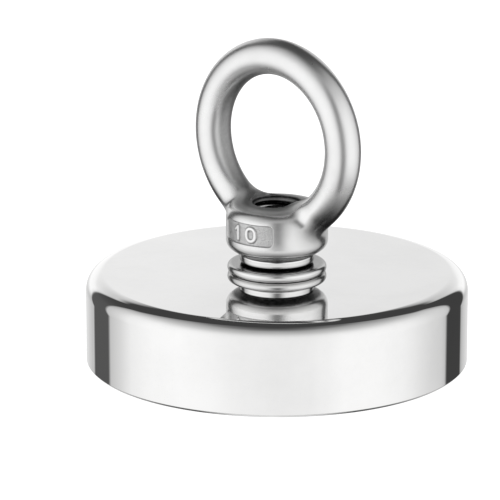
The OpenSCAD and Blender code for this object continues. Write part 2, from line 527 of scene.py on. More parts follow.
def metal(name, color, gloss, dull, marks=0.3, density=0.5, fineness=1.0, turned=0.0,
          cast=0.0, rim=1.0):
    """Bare or plated metal. gloss and dull are its roughness where it is clean and where it is
    handled; density is how many scratches there are, fineness how thin they and the lathe's
    marks are, and marks how deep they show. turned and cast are the depths of the lathe's marks
    and the casting's skin, in metres. rim is how bright it stays where it turns away."""
    material, n, shader, where = new_material(name)
    shader.inputs["Metallic"].default_value = 1.0
    shader.inputs["Specular Tint"].default_value = (rim, rim, rim, 1)
    handled = n.group(HANDLING, Vector=where).outputs["Mask"]
    scratch = n.group(SCRATCHES, Vector=where, Density=density, Fineness=fineness)
    scratch = scratch.outputs["Mask"]
    rough = n.ramp(handled, 0.0, 1.0, gloss, dull, "LINEAR")
    rough = n.math("ADD", rough, n.math("MULTIPLY", scratch, marks * 0.25), clamp=True)
    n.link(rough, shader.inputs["Roughness"])
    shade = n.math("ADD", n.math("MULTIPLY", handled, 0.6), n.math("MULTIPLY", scratch, marks))
    darker = tuple(c * 0.93 for c in color)
    n.link(tint(n, shade, color, darker), shader.inputs["Base Color"])
    normal = None
    if cast:
        skin = n.group(CAST_SKIN, Vector=where).outputs["Height"]
        normal = bump(n, skin, cast)
    if turned:
        lathe = n.group(TURNING, Vector=where, Fineness=fineness).outputs["Height"]
        normal = bump(n, lathe, turned, under=normal)
    normal = bump(n, n.math("MULTIPLY", scratch, -1.0), marks * 2e-6, under=normal)
    n.link(normal, shader.inputs["Normal"])
    return material, n, shader, where


def pot_nickel():
    """Bright nickel plating on a polished cup: almost a mirror."""
    return metal("bright nickel", (0.865, 0.863, 0.86), gloss=0.012, dull=0.03, marks=0.1,
                 density=0.25)[0]


def magnet_nickel():
    """Satin nickel on sintered magnet, with faint scuffs."""
    return metal("magnet nickel", (0.70, 0.685, 0.66), gloss=0.16, dull=0.34, marks=0.6,
                 density=0.9, fineness=0.8, cast=2.5e-5)[0]


def bush_steel():
    """Turned and plated steel."""
    return metal("turned steel", (0.66, 0.65, 0.635), gloss=0.2, dull=0.34, marks=0.4,
                 turned=6e-6)[0]


def screw_steel():
    """Stainless screw with a rolled thread."""
    return metal("screw steel", (0.62, 0.615, 0.605), gloss=0.2, dull=0.36, marks=0.4,
                 fineness=1.2, turned=4e-6)[0]


def washer_steel():
    """Polished stainless washer."""
    return metal("washer steel", (0.86, 0.86, 0.858), gloss=0.16, dull=0.24, density=0.4,
                 fineness=1.2, turned=3e-6, rim=0.4)[0]


def spring_steel():
    """Bright polished spring washer, with painted shade at its foot."""
    material, n, shader, where = metal(
        "spring steel", (0.88, 0.88, 0.878), gloss=0.12, dull=0.18, density=0.4, fineness=1.2,
        turned=2e-6, rim=0.4)
    # painted shade where the washer sits on the flat washer
    darken(n, shader, where, point_value(n, "corner"))
    return material


def eye_nut_steel():
    """Cast stainless steel polished to a soft shine. The ground of the size panel keeps the
    stipple of its mould, the inside of the ring and the crown are less well polished, and the
    ground and the inside of the ring carry some painted shade. The hole, the mouth and the
    corners under bar and collar are painted dark as shade."""
    material, n, shader, where = metal(
        "cast stainless", (0.88, 0.88, 0.878), gloss=0.21, dull=0.27, marks=0.25, density=0.45,
        cast=4e-5, rim=0.7)
    ground = point_value(n, "panel_ground")
    inside = point_value(n, "inside")
    # painted shade: inside the ring, on the sunk panel's ground, and in the hole, round the mouth
    # and in the corners
    darken(n, shader, where, n.math("MULTIPLY", inside, 0.6), (0.1, 0.1, 0.1))
    darken(n, shader, where, n.math("MULTIPLY", ground, 0.2))
    darken(n, shader, where, point_value(n, "corner"))
    grains = n.group(STIPPLE, Vector=where).outputs["Height"]
    polished = shader.inputs["Normal"].links[0].from_socket
    height = n.math("MULTIPLY", grains, ground)
    n.link(bump(n, height, 5e-5, under=polished), shader.inputs["Normal"])
    worn = shader.inputs["Roughness"].links[0].from_socket
    rough = n.math("ADD", worn, n.math("MULTIPLY", n.math("MAXIMUM", ground, inside), 0.18))
    rough = n.math("ADD", rough, n.math("MULTIPLY", point_value(n, "satin"), 0.25))
    n.link(rough, shader.inputs["Roughness"])
    return material


def cast_plastic(name, dark, light, gloss, dull, cloud_size, wave_size, waves):
    """A cast plastic. Its colour and roughness change in soft clouds, from dark and gloss to
    light and dull, and its skin is uneven by waves, in metres. Both sizes are shares of those on
    metal."""
    material, n, shader, where = new_material(name)
    cloudy = n.group(HANDLING, Vector=where, Size=cloud_size).outputs["Mask"]
    n.link(tint(n, cloudy, dark, light), shader.inputs["Base Color"])
    n.link(n.ramp(cloudy, 0.0, 1.0, gloss, dull, "LINEAR"), shader.inputs["Roughness"])
    skin = n.group(CAST_SKIN, Vector=where, Size=wave_size).outputs["Height"]
    n.link(bump(n, skin, waves), shader.inputs["Normal"])
    return material


def black_resin():
    """Cast black epoxy: glossy, with fine dust and a slightly uneven skin."""
    return cast_plastic("black resin", (0.012, 0.012, 0.013), (0.035, 0.034, 0.033), gloss=0.22,
                        dull=0.42, cloud_size=0.6, wave_size=0.35, waves=6e-5)


def adhesive():
    """Cured adhesive film, hidden between the magnet and the pot."""
    return cast_plastic("adhesive film", (0.22, 0.21, 0.19), (0.30, 0.28, 0.25), gloss=0.45,
                        dull=0.7, cloud_size=0.5, wave_size=0.3, waves=8e-5)


# ---------------------------------------------------------------- the pot and what is in it


def make_turned(name, section, count, node, material):
    """A piece of the pot with a closed section, carried round the axis in count columns."""
    rings = revolve(section, round_angles(count))
    return make_piece(name, [ring_faces(rings, loop=True)], "pot", node, material)


def make_pot(material):
    """A cup, open downwards: its closed section carried round the axis."""
    section = outline([
        (CAVITY_R, 0, EASED), (POT_R - POT_FOOT, 0, EASED), (POT_R, POT_FOOT, EASED),
        (POT_R, POT_TOP, POT_EDGE), (HOLE_R, POT_TOP, EASED), (HOLE_R, CAVITY_TOP, EASED),
        (CAVITY_R, CAVITY_TOP, EASED),
    ], closed=True, step=3.0, turn_step=3.5)
    return make_turned("pot", section, 480, "pot_shell", material)


def make_magnet(material):
    """A ring with rounded edges."""
    edge = 0.4
    section = outline([
        (MAGNET_HOLE_R, MAGNET_FACE, edge), (MAGNET_R, MAGNET_FACE, edge),
        (MAGNET_R, MAGNET_TOP, edge), (MAGNET_HOLE_R, MAGNET_TOP, edge),
    ], closed=True, step=2.5)
    return make_turned("magnet", section, 360, "ring_magnet", material)


def make_resin(name, node, inner, outer, seed, material):
    """A cast ring. Its free face creeps up both walls, by a height that falls off with the
    distance from the wall, and is uneven by a sum of slow sine waves round the ring."""
    angles = round_angles(360)
    across = np.sort(np.concatenate([np.linspace(0, 1, 13), [0.03, 0.06, 0.94, 0.97]]))
    radius = inner + (outer - inner) * across
    wall = np.minimum(radius - inner, outer - radius)
    chance = np.random.default_rng(seed)
    waves = np.zeros((len(radius), len(angles)))
    for turns in (2, 3, 5, 9, 17, 31):
        phase = chance.uniform(0, TURN, 2)
        size = chance.uniform(0.4, 1.0) / math.sqrt(turns)
        waves += size * np.sin(turns * angles + phase[0] + 1.5 * across[:, None] + phase[1])
    creep = 0.28 * np.exp(-wall / 0.35)[:, None]
    free = RESIN_FACE + 0.06 + 0.035 * waves * (1 - np.exp(-wall / 0.3))[:, None] - creep
    free = np.maximum(free, 0.06)
    back = revolve(np.array([[outer, CAVITY_TOP], [inner, CAVITY_TOP]]), angles)
    rings = np.concatenate([polar(radius[:, None], angles, free), back])
    return make_piece(name, [ring_faces(rings, loop=True)], "pot", node, material)


def make_bush(material):
    """A turned bush with the 90 degree seat for the screw's head."""
    seat = HEAD_R + HEAD_FACE + 0.07
    section = outline([
        (seat, 0, 0.08), (BUSH_R, 0, EASED), (BUSH_R, CAVITY_TOP, EASED),
        (HOLE_R, CAVITY_TOP, EASED), (HOLE_R, seat - HOLE_R, EASED),
    ], closed=True, step=1.5)
    return make_turned("bush", section, 288, "centre_bush", material)


def hexagon_radius(angles, across_flats, corner=0.25):
    """Distance from the middle of a hexagon to its edge. A soft minimum of the flat's distance
    and a limit, -log(exp(-k a) + exp(-k b)) / k, rounds the corners."""
    sixth, k = TURN / 6, 12
    turned = (angles + sixth / 2) % sixth - sixth / 2
    sharp = across_flats / 2 / np.cos(turned)
    limit = across_flats / 2 / math.cos(sixth / 2) - corner / 2
    return -np.logaddexp(-sharp * k, -limit * k) / k


def make_screw(material):
    """The screw's skin, from the middle of its socket round the head and along the thread to the
    middle of its tip. Rows of the thread follow the helix."""
    angles = round_angles(180)
    hexagon = hexagon_radius(angles, SOCKET_AF)
    floor = HEAD_FACE + SOCKET_DEPTH
    cone_point = HEAD_R + HEAD_FACE  # where a 90 degree cone on the head's edge would end
    rim = 0.35                       # height of the head's straight edge
    thread_foot = cone_point - 2.2

    def rows(steps):
        """A ring of points for each pair of radius and height."""
        return [polar(radius, angles, height) for radius, height in steps]

    # the shallow point of the drill, the socket's walls, and their chamfer at the head's face
    drill = [(s * 2.7, floor - 0.02 + (1 - s) * 0.45) for s in (0.15, 0.5, 0.97)]
    walls = [(hexagon - 0.12, floor - 0.02), (hexagon - 0.03, floor - 0.05),
             (hexagon, floor - 0.14)]
    walls += [(hexagon, h) for h in np.linspace(floor - 0.4, HEAD_FACE + 0.45, 7)]
    walls += [(hexagon + d, HEAD_FACE + e) for d, e in
              ((0.01, 0.3), (0.06, 0.21), (0.2, 0.06), (0.27, 0.015), (0.38, 0.0))]
    head = outline([
        (4.2, HEAD_FACE, 0), (HEAD_R, HEAD_FACE, EASED), (HEAD_R, HEAD_FACE + rim, 0.1),
        (SHANK_R, cone_point + rim - SHANK_R, 0.8), (SHANK_R, thread_foot, 0),
    ], closed=False, step=0.8)
    start = rows(drill + walls + list(head[head[:, 1] < thread_foot]))
    heights, partner = thread_rows(angles, thread_foot, SCREW_TIP - 0.12, upwards=True)
    ridge = thread_radius(angles, heights, THREAD_R, THREAD_ROOT_R)
    share = smoothstep(thread_foot + 0.3, thread_foot + 2.0, heights)
    tip_cone = TIP_R + (SCREW_TIP - heights)
    radius = np.minimum(SHANK_R + (ridge - SHANK_R) * share, tip_cone)
    end = rows([(TIP_R + 0.06, SCREW_TIP - 0.05), (TIP_R - 0.05, SCREW_TIP - 0.01),
                (TIP_R - 0.2, SCREW_TIP), (0.6 * TIP_R, SCREW_TIP), (0.2 * TIP_R, SCREW_TIP)])
    rings = np.concatenate([start, polar(radius, angles, heights), end])
    joins = np.arange(len(rings))
    joins[len(start):len(start) + len(partner)] = len(start) + partner
    shell = ring_faces(rings, partner=joins, start_pole=True, end_pole=True)
    piece = make_piece("screw", [shell], "screw", "socket_screw", material)
    merge_points(piece)
    return piece


# ---------------------------------------------------------------- washers


def make_flat_washer(material):
    """A polished washer with a rounded rim."""
    section = outline([
        (HOLE_R, POT_TOP, 0.06), (WASHER_R, POT_TOP, 0.85), (WASHER_R, WASHER_TOP, 0.8),
        (HOLE_R, WASHER_TOP, 0.3),
    ], closed=True, step=0.8, turn_step=6)
    return make_turned("washer", section, 360, "flat_washer", material)


def make_spring_washer(material):
    """A rounded rectangle carried round the axis from one side of the slit to the other. The
    height of a point shifts it round the axis, so that the slit leans. Its foot carries painted
    shade."""
    inner, middle = 5.2, (WASHER_TOP + BEARING_Z) / 2

    def section(inset, rounding):
        path = outline([
            (inner + inset, WASHER_TOP + inset, rounding),
            (SPRING_R - inset, WASHER_TOP + inset, rounding + 0.55),
            (SPRING_R - inset, BEARING_Z - inset, rounding),
            (inner + inset, BEARING_Z - inset, rounding),
        ], closed=True, step=0.5, turn_step=10)
        return path[::-1]

    half_gap = SLIT / 2 / SPRING_R
    ease = 0.12
    full, eased = section(0, 0.4), section(ease, 0.4 - ease)
    sweep = np.linspace(half_gap + ease / SPRING_R, TURN - half_gap - ease / SPRING_R, 260)
    turns = np.concatenate([[half_gap], sweep, [TURN - half_gap]])
    paths = np.stack([eased] + [full] * len(sweep) + [eased])
    lean = math.tan(math.radians(SLIT_LEAN)) / SPRING_R
    around = math.radians(SLIT_ANGLE) + turns[:, None] - (paths[..., 1] - middle) * lean
    rings = polar(paths[..., 0], around, paths[..., 1])
    shell = ring_faces(rings, start_pole=True, end_pole=True)
    # painted shade at the foot, where it sits on the flat washer
    corner = smoothstep(0.72, 0.5, shell[0][:, 2] - WASHER_TOP)
    return make_piece("spring_washer_ring", [shell], "nut_carrier", "spring_washer",
                      material, {"corner": corner})


# ---------------------------------------------------------------- the eye nut

SPREAD = 4.0            # how far the bar and the collar flow into each other
FOOT_END = 1.9          # how far from the bar its own skin ends, on the skin of the collar
MOUTH_R = 5.0           # the tapped hole where it opens in the crown
WALL_R = 5.07           # the wall that its mouth leaves in the bar's feet
HOLE_FOOT_R = 5.3       # the hole where it opens in the bearing face
BEARING_R = 7.3         # flat face under the collar
SLOPE_RISE = 1.6        # from that face to the collar's side
COLLAR_TOP = BEARING_Z + 9.81
CROWN_RISE = 1.14       # from the collar's edge to the point of the crown's cone, cut by the hole
UPPER_ROUND = 2.4       # rounding of the crown's outer edge
LOWER_ROUND = 1.0
CROWN_FALL = CROWN_RISE / (COLLAR_R - UPPER_ROUND)
MOUTH_Z = COLLAR_TOP + CROWN_RISE - CROWN_FALL * MOUTH_R
PANEL_HALF_W = 6.3      # half sizes of the sunk panel, along the side and upwards
PANEL_HALF_H = 2.2
PANEL_Z = BEARING_Z + 5.66
PANEL_CORNER = 1.0
PANEL_DEPTH = 0.35
DIGIT_H = 1.62          # half the height of a raised digit
STROKE = 0.36           # half the width of its strokes


def blend_inside(a, b, size):
    """The overlap of two shapes given by their distances, with its edge rounded to size."""
    corner = np.hypot(np.maximum(a + size, 0), np.maximum(b + size, 0))
    return np.minimum(-size, np.maximum(a, b)) + corner


def flow_together(a, b, size):
    """Two shapes joined: where their distances differ by less than size, the smaller distance
    less size/6 times the cube of what is left of size, as a share of it."""
    share = np.maximum(size - np.abs(a - b), 0) / size
    return np.minimum(a, b) - share ** 3 * size / 6


def collar_distance(p):
    """Distance from the collar: a cylinder cut by a shallow cone above, a steep one below and
    the flat bearing face."""
    r = np.hypot(p[..., 0], p[..., 1])
    z = p[..., 2]
    crown = (z - COLLAR_TOP - CROWN_RISE + CROWN_FALL * r) / math.hypot(1, CROWN_FALL)
    run = COLLAR_R - BEARING_R
    slope = ((r - BEARING_R) * SLOPE_RISE - (z - BEARING_Z) * run) / math.hypot(run, SLOPE_RISE)
    shape = blend_inside(r - COLLAR_R, crown, UPPER_ROUND)
    shape = blend_inside(shape, slope, LOWER_ROUND)
    return blend_inside(shape, BEARING_Z - z, EASED)


def bar_distance(p):
    """Distance from the round bar bent into a ring, whose axis is along Y."""
    from_axis = np.hypot(p[..., 0], p[..., 2] - EYE_Z) - RING_R
    return np.hypot(from_axis, p[..., 1]) - BAR_R


def nut_distance(p):
    """Distance from collar and bar joined."""
    return flow_together(collar_distance(p), bar_distance(p), SPREAD)


def gradient(distance, p, step=1e-4):
    """Direction in which a distance grows, by differences along the three axes."""
    shifts = np.eye(3) * step
    return np.stack([(distance(p + s) - distance(p - s)) / (2 * step) for s in shifts], axis=-1)


def settle(distance, p, level=0.0, rounds=4):
    """Moves points along the gradient until their distance is level."""
    for _ in range(rounds):
        slope = gradient(distance, p)
        excess = (distance(p) - level) / np.maximum((slope ** 2).sum(-1), 1e-9)
        p = p - slope * excess[..., None]
    return p


def limb(start, rows, step=0.22, steps=90):
    """Rows of points that lead from a ring of points on the bar down and out onto the collar.
    Each point goes the steepest way from the bar to the collar, over their common surface,
    until it is FOOT_END away from the bar or at the wall of the hole's mouth."""
    def side(p):
        return collar_distance(p) - bar_distance(p)

    trail = [start]
    done = np.zeros(len(start), bool)
    length = np.zeros(len(start))
    for _ in range(steps):
        p = trail[-1]
        normal = gradient(nut_distance, p)
        normal /= np.linalg.norm(normal, axis=-1, keepdims=True)
        way = -gradient(side, p)
        way -= normal * (way * normal).sum(-1, keepdims=True)
        way /= np.maximum(np.linalg.norm(way, axis=-1, keepdims=True), 1e-6)
        moved = settle(nut_distance, p + way * step, rounds=2)
        moved[done] = p[done]
        trail.append(moved)
        was_out, out = np.hypot(p[:, 0], p[:, 1]), np.hypot(moved[:, 0], moved[:, 1])
        at_wall = ~done & (out < WALL_R)
        inwards = np.maximum(was_out - out, 1e-6)
        length += np.where(at_wall, np.clip((was_out - WALL_R) / inwards, 0, 1), ~done)
        done |= at_wall | (side(moved) < -FOOT_END)
        if done.all():
            break
    trail = np.array(trail)
    share = np.linspace(0, 1, rows)[:, None] * length
    before = np.minimum(np.floor(share).astype(int), len(trail) - 2)
    part = (share - before)[..., None]
    column = np.arange(len(start))
    mixed = trail[before, column] * (1 - part) + trail[before + 1, column] * part
    return settle(nut_distance, mixed)


def eye_rings():
    """The bar's rings of points from one foot over the top to the other, their normals, and how
    much painted shade they carry in the corner under the bar."""
    around = round_angles(96)
    below = math.radians(30)  # where the feet begin, below the level of the ring's middle
    turns = np.linspace(-below, math.pi + below, 172)[:, None]
    radius = RING_R + BAR_R * np.cos(around)
    bar = np.stack([radius * np.cos(turns), BAR_R * np.sin(around) + 0 * turns,
                    EYE_Z + radius * np.sin(turns)], axis=-1)
    foot = limb(bar[0], 44)[1:]
    normal = gradient(nut_distance, foot)
    normal /= np.linalg.norm(normal, axis=-1, keepdims=True)
    out = np.hypot(foot[..., 0], foot[..., 1])
    foot[..., :2] *= np.maximum(1, WALL_R / out)[..., None]
    # sink the last rows a little, so that the collar's own skin covers the foot's edge
    past = collar_distance(foot) - bar_distance(foot)
    ease = smoothstep(-0.7 * FOOT_END, -FOOT_END, past)[..., None]
    foot = foot - normal * 0.07 * ease
    # then go into the collar: straight down round the mouth, as the hole's wall, else inwards
    end, end_normal = foot[-1], normal[-1]
    at_wall = smoothstep(WALL_R + 0.7, WALL_R + 0.1, out[-1])[:, None]
    down = -end_normal * (1 - at_wall) + np.array([0, 0, -1]) * at_wall
    wall_normal = end_normal * (1 - at_wall) - end * np.array([1, 1, 0]) / WALL_R * at_wall
    foot = np.concatenate([foot, [end + down * 0.08, end + down * (0.6 + at_wall)]])
    normal = np.concatenate([normal, [wall_normal, wall_normal]])
    mirror = np.array([-1, 1, 1])
    rings = np.concatenate([foot[::-1], bar, foot * mirror])
    normals = np.concatenate([normal[::-1], gradient(bar_distance, bar), normal * mirror])
    normals /= np.linalg.norm(normals, axis=-1, keepdims=True)
    # painted shade on the downward-facing bar near the collar, in the corner under it
    above = collar_distance(rings)
    near = np.exp(-((above - 3.5) / np.where(above < 3.5, 2.0, 6.5)) ** 2)
    return rings, normals, 0.8 * near * smoothstep(0.0, -0.4, normals[..., 2])


def stroke_distance(u, v, ends):
    """Distance from a straight stroke between two points."""
    (u0, v0), (u1, v1) = ends
    du, dv = u1 - u0, v1 - v0
    t = np.clip(((u - u0) * du + (v - v0) * dv) / (du * du + dv * dv), 0, 1)
    return np.hypot(u - u0 - t * du, v - v0 - t * dv)


def rounded_box_distance(u, v, half_u, half_v, corner):
    """Distance from the edge of a rectangle with round corners, negative inside."""
    a = np.abs(u) - half_u + corner
    b = np.abs(v) - half_v + corner
    return np.hypot(np.maximum(a, 0), np.maximum(b, 0)) + np.minimum(np.maximum(a, b), 0) - corner


def panel_relief(angles, heights):
    """How deep the collar's side is sunk at each point, how much of it is the panel's stippled
    ground, and how much painted shadow it carries along the foot of an edge. The plain number
    10, the thread's size, stands up from the ground."""
    u = COLLAR_R * (angles - 1.5 * math.pi)
    v = heights - PANEL_Z
    edge = rounded_box_distance(u, v, PANEL_HALF_W, PANEL_HALF_H, PANEL_CORNER)
    sunk = smoothstep(0.0, 0.22, -edge)
    one = stroke_distance(u, v, ((-1.75, -DIGIT_H + STROKE), (-1.75, DIGIT_H - STROKE)))
    flag = stroke_distance(u, v, ((-1.75, DIGIT_H - STROKE), (-2.5, DIGIT_H - 1.0)))
    nought = np.abs(rounded_box_distance(u - 1.5, v, 1.32 - STROKE, DIGIT_H - STROKE, 0.95))
    digits = np.minimum(np.minimum(one, flag), nought) - STROKE
    raised = smoothstep(0.1, -0.12, digits)
    # painted shadow along the foot of the digits and just inside the panel's edge
    outlines = sunk * np.exp(-((digits - 0.05) / 0.09) ** 2) + np.exp(-((edge + 0.12) / 0.08) ** 2)
    depth = PANEL_DEPTH * (sunk - 0.85 * raised * sunk)
    return np.stack([depth, sunk * (1 - raised), outlines])


def collar_angles():
    """Angles round the collar, close together over the panel."""
    panel = math.radians(41)
    start = 1.5 * math.pi - panel
    fine = np.linspace(0, 2 * panel, 176, endpoint=False) + start
    coarse = np.linspace(2 * panel, TURN, 152, endpoint=False) + start
    return np.sort(np.concatenate([fine, coarse]) % TURN)


def collar_path():
    """The collar's outline, from the foot of its hole along the bearing face, up the side and
    over the crown into the hole's mouth."""
    low_side, high_side = PANEL_Z - 2.6, PANEL_Z + 1.65
    edge_z = COLLAR_TOP + CROWN_RISE - CROWN_FALL * COLLAR_R
    below = outline([
        (HOLE_FOOT_R, BEARING_Z, 0), (BEARING_R, BEARING_Z, EASED),
        (COLLAR_R, BEARING_Z + SLOPE_RISE, LOWER_ROUND), (COLLAR_R, low_side, 0),
    ], closed=False, step=0.7, turn_step=6)
    side = np.linspace(low_side, high_side, 46)[1:-1]
    above = outline([
        (COLLAR_R, high_side, 0), (COLLAR_R, edge_z, UPPER_ROUND),
        (MOUTH_R + 0.12, MOUTH_Z - CROWN_FALL * 0.12, 0), (MOUTH_R, MOUTH_Z, 0.12),
        (MOUTH_R - 0.3, MOUTH_Z - 0.3, 0),
    ], closed=False, step=0.4, turn_step=3)
    return np.concatenate([below, np.stack([COLLAR_R + 0 * side, side], axis=-1), above])


def collar_skin(path, angles):
    """The collar without its hole: points, their exact normals, how much of each is the panel's
    ground, and how much painted shade it carries. The normals are zero where the mesh's own
    are right."""
    skin = revolve(path, angles)
    radius, heights = path[:, :1], path[:, 1:]
    depth, ground, outlines = panel_relief(angles, heights) * (radius > COLLAR_R - 0.08)
    # follow the common surface, a little deeper under the bar's own skin
    past = collar_distance(skin) - bar_distance(skin)
    reach = smoothstep(-0.2, -0.8, past) * smoothstep(MOUTH_R + 0.02, MOUTH_R + 0.12, radius)
    reach = reach * (heights > BEARING_Z + 0.5)
    level = -0.3 * smoothstep(-0.75 * FOOT_END, -0.3 * FOOT_END, past)
    skin += (settle(nut_distance, skin, level) - skin) * reach[..., None]
    normals = gradient(nut_distance, skin) * ((reach > 0) & (depth == 0))[..., None]
    skin[..., :2] *= (1 - depth / COLLAR_R)[..., None]
    # painted shade at the mouth's rim and on the slope under the collar, and the painted shadow of
    # the panel's edges and digits
    rim = smoothstep(MOUTH_R + 0.02, MOUTH_R - 0.12, radius)
    under = smoothstep(BEARING_R + 2.0, BEARING_R + 1.0, radius)
    under = under * (heights < BEARING_Z + SLOPE_RISE + 0.2)
    return skin, normals, ground, np.maximum(0.9 * under, 0.5 * outlines) + rim


def tapped_hole(angles):
    """The eye nut's thread from the mouth of the hole down to its foot: points, for each row the
    row that it meets after a full turn, and the painted shade of the points. The crests of the
    thread are painted lighter further down, and the rest of the hole is painted dark as shade."""
    low, high = BEARING_Z, MOUTH_Z - 0.3
    heights, partner = thread_rows(angles, low, high, upwards=False)
    groove = thread_radius(angles, heights, THREAD_R + THREAD_PLAY, NUT_CREST_R)
    fade = smoothstep(0.1, 0.75, high - heights)
    radius = NUT_CREST_R + (groove - NUT_CREST_R) * fade
    radius = np.maximum(radius, MOUTH_R - (MOUTH_Z - heights))
    radius = np.maximum(radius, HOLE_FOOT_R - (heights - low))
    # painted shade in the hole, lighter on the crests further down
    crest = smoothstep(NUT_CREST_R + 0.45, NUT_CREST_R + 0.15, radius)
    dark = 1 - crest * (0.3 + 0.7 * smoothstep(0.8, 1.4, high - heights))
    return polar(radius, angles, heights), partner, dark


def collar_rings():
    """The collar's rings, over its outside and down its hole, for each row the row that it meets
    after a full turn, exact normals or zeros, the share of panel ground, and the painted shade."""
    angles = collar_angles()
    skin, normals, ground, skin_dark = collar_skin(collar_path(), angles)
    hole, partner, hole_dark = tapped_hole(angles)
    joins = np.concatenate([np.arange(len(skin)), len(skin) + partner])
    normals = np.concatenate([normals, np.zeros(hole.shape)])
    ground = np.concatenate([ground, np.zeros(hole_dark.shape)])
    dark = np.concatenate([skin_dark, hole_dark])
    return np.concatenate([skin, hole]), joins, normals, ground, dark


def crown_satin_and_shade(points):
    """How satin each point is, and how much painted shade it carries round the mouth of the hole.
    Both are found at the height of the crown, and the bar above it is a little satin too."""
    beside = np.hypot(points[:, 0], points[:, 1])
    z = points[:, 2]
    at_crown = smoothstep(COLLAR_TOP + 2.4, COLLAR_TOP + 1.2, z)
    at_crown *= smoothstep(COLLAR_TOP - 1.6, COLLAR_TOP - 1.0, z)
    satin = smoothstep(COLLAR_R - 1.2, COLLAR_R - 2.2, beside) * at_crown
    # painted shade round the mouth of the hole
    mouth_shade = 0.55 * smoothstep(MOUTH_R + 2.4, MOUTH_R + 0.8, beside) * at_crown
    return np.maximum(satin, 0.2 * smoothstep(COLLAR_TOP + 1.5, COLLAR_TOP + 9, z)), mouth_shade


def inside_ring(points):
    """How much each point of the bar faces the middle of the ring, apart from the feet."""
    across = np.hypot(points[:, 0], points[:, 2] - EYE_Z)
    inside = smoothstep(-0.7, -1.0, (across - RING_R) / BAR_R)
    return inside * smoothstep(COLLAR_TOP + 1.0, COLLAR_TOP + 2.6, points[:, 2])


def make_eye_nut(material):
    """Two closed skins in one piece: the collar with its tapped hole, and the bar, whose feet
    flow out over the collar and end inside it. Both skins follow one common surface there."""
    rings, joins, collar_normals, ground, dark = collar_rings()
    collar = ring_faces(rings, partner=joins, loop=True)
    bar, bar_normals, bar_dark = eye_rings()
    feet = ring_faces(bar, start_pole=True, end_pole=True)
    poles = np.zeros(len(feet[0]) - bar_dark.size)
    satin, mouth_shade = crown_satin_and_shade(np.concatenate([collar[0], feet[0]]))
    values = {
        "satin": satin,
        "panel_ground": np.concatenate([ground.ravel(), np.zeros(len(feet[0]))]),
        # painted shade: in the hole, under the collar, under the bar, round the mouth and along
        # the panel
        "corner": np.maximum(np.concatenate([dark.ravel(), bar_dark.ravel(), poles]), mouth_shade),
        # the inside of the ring: less well polished, and darker there as painted shade
        "inside": np.concatenate([np.zeros(len(collar[0])), inside_ring(feet[0])]),
    }
    piece = make_piece("eye_nut_casting", [collar, feet], "eye", "eye_nut",
                       material, values)
    exact = np.concatenate([collar_normals.reshape(-1, 3), bar_normals.reshape(-1, 3),
                            np.zeros((len(poles), 3))])
    attribute = piece.data.attributes.new("exact", "FLOAT_VECTOR", "POINT")
    attribute.data.foreach_set("vector", exact.astype(np.float32).ravel())
    merge_points(piece)
    shade_exactly(piece.data)
    return piece


def shade_exactly(mesh):
    """Gives points their exact normals where these are known, and leaves the others theirs."""
    count = len(mesh.vertices)
    exact = np.zeros(count * 3, np.float32)
    mesh.attributes["exact"].data.foreach_get("vector", exact)
    exact = exact.reshape(-1, 3)
    normals = np.zeros(count * 3, np.float32)
    mesh.vertex_normals.foreach_get("vector", normals)
    normals = normals.reshape(-1, 3)
    length = np.linalg.norm(exact, axis=1)
    known = length > 0.5
    normals[known] = exact[known] / length[known, None]
    mesh.attributes.remove(mesh.attributes["exact"])
    mesh.normals_split_custom_set_from_vertices(normals)


# ---------------------------------------------------------------- the studio

CAMERA_AZIMUTH = math.radians(40.74)
CAMERA_ELEVATION = math.radians(15.86)
CAMERA_DISTANCE = 0.7156    # metres, and so are the next two
AIM_ASIDE = -0.00528        # how far the aim lies to the camera's right of the axis
AIM_HEIGHT = 0.02215
CAMERA_LENS = 263.05        # millimetres, and so is the next one
SENSOR_WIDTH = 36


def make_camera():
    """A long lens from the front right, a little above the object."""
    camera = bpy.data.cameras.new("camera")
    camera.lens = CAMERA_LENS
    camera.sensor_width = SENSOR_WIDTH
    camera.clip_start = 0.05
    camera.clip_end = 20
    holder = new_object("camera", camera)
    a, e = CAMERA_AZIMUTH, CAMERA_ELEVATION
    right = np.array([math.cos(a), math.sin(a), 0])
    back = np.array([math.sin(a) * math.cos(e), -math.cos(a) * math.cos(e), math.sin(e)])
    up = np.cross(back, right)
    aim = right * AIM_ASIDE + np.array([0, 0, AIM_HEIGHT])
    rows = np.column_stack([right, up, back, aim + back * CAMERA_DISTANCE])
    holder.matrix_world = Matrix(np.vstack([rows, [0, 0, 0, 1]]).tolist())
    bpy.context.scene.camera = holder


# The studio, as the metal mirrors it. Each pair is an angle in degrees and a brightness or a
# share: round the horizon from the camera, negative to its left, and up from the horizon.
WALLS = (
    (-180, 1.08), (-178, 1.13), (-150, 1.12), (-145.5, 0.95), (-143, 0.1), (-122, 0.1),
    (-119.5, 0.62), (-108, 0.78), (-98, 0.98), (-80, 1.1), (-60, 1.12), (-40, 1.08), (-20, 0.98),
    (0, 0.97), (20, 0.98), (40, 1.1), (62, 1.1), (80, 1.04), (90, 0.95), (105, 0.8), (117, 0.72),
    (121, 0.62), (123.5, 0.045), (144.5, 0.045), (147, 0.95), (152, 1.1), (176, 1.04),
    (180, 1.08),
)
# Share of the light that the wall keeps at each height, in front and behind.
FRONT_FADE = (
    (0, 1.0), (14, 0.98), (25, 0.93), (35, 0.8), (45, 0.62), (55, 0.48), (63, 0.37), (70, 0.21),
    (80, 0.1), (90, 0.055),
)
BACK_FADE = ((0, 1.0), (10, 0.97), (13, 0.93), (16, 0.84), (21, 0.76), (30, 0.6), (90, 0.5))
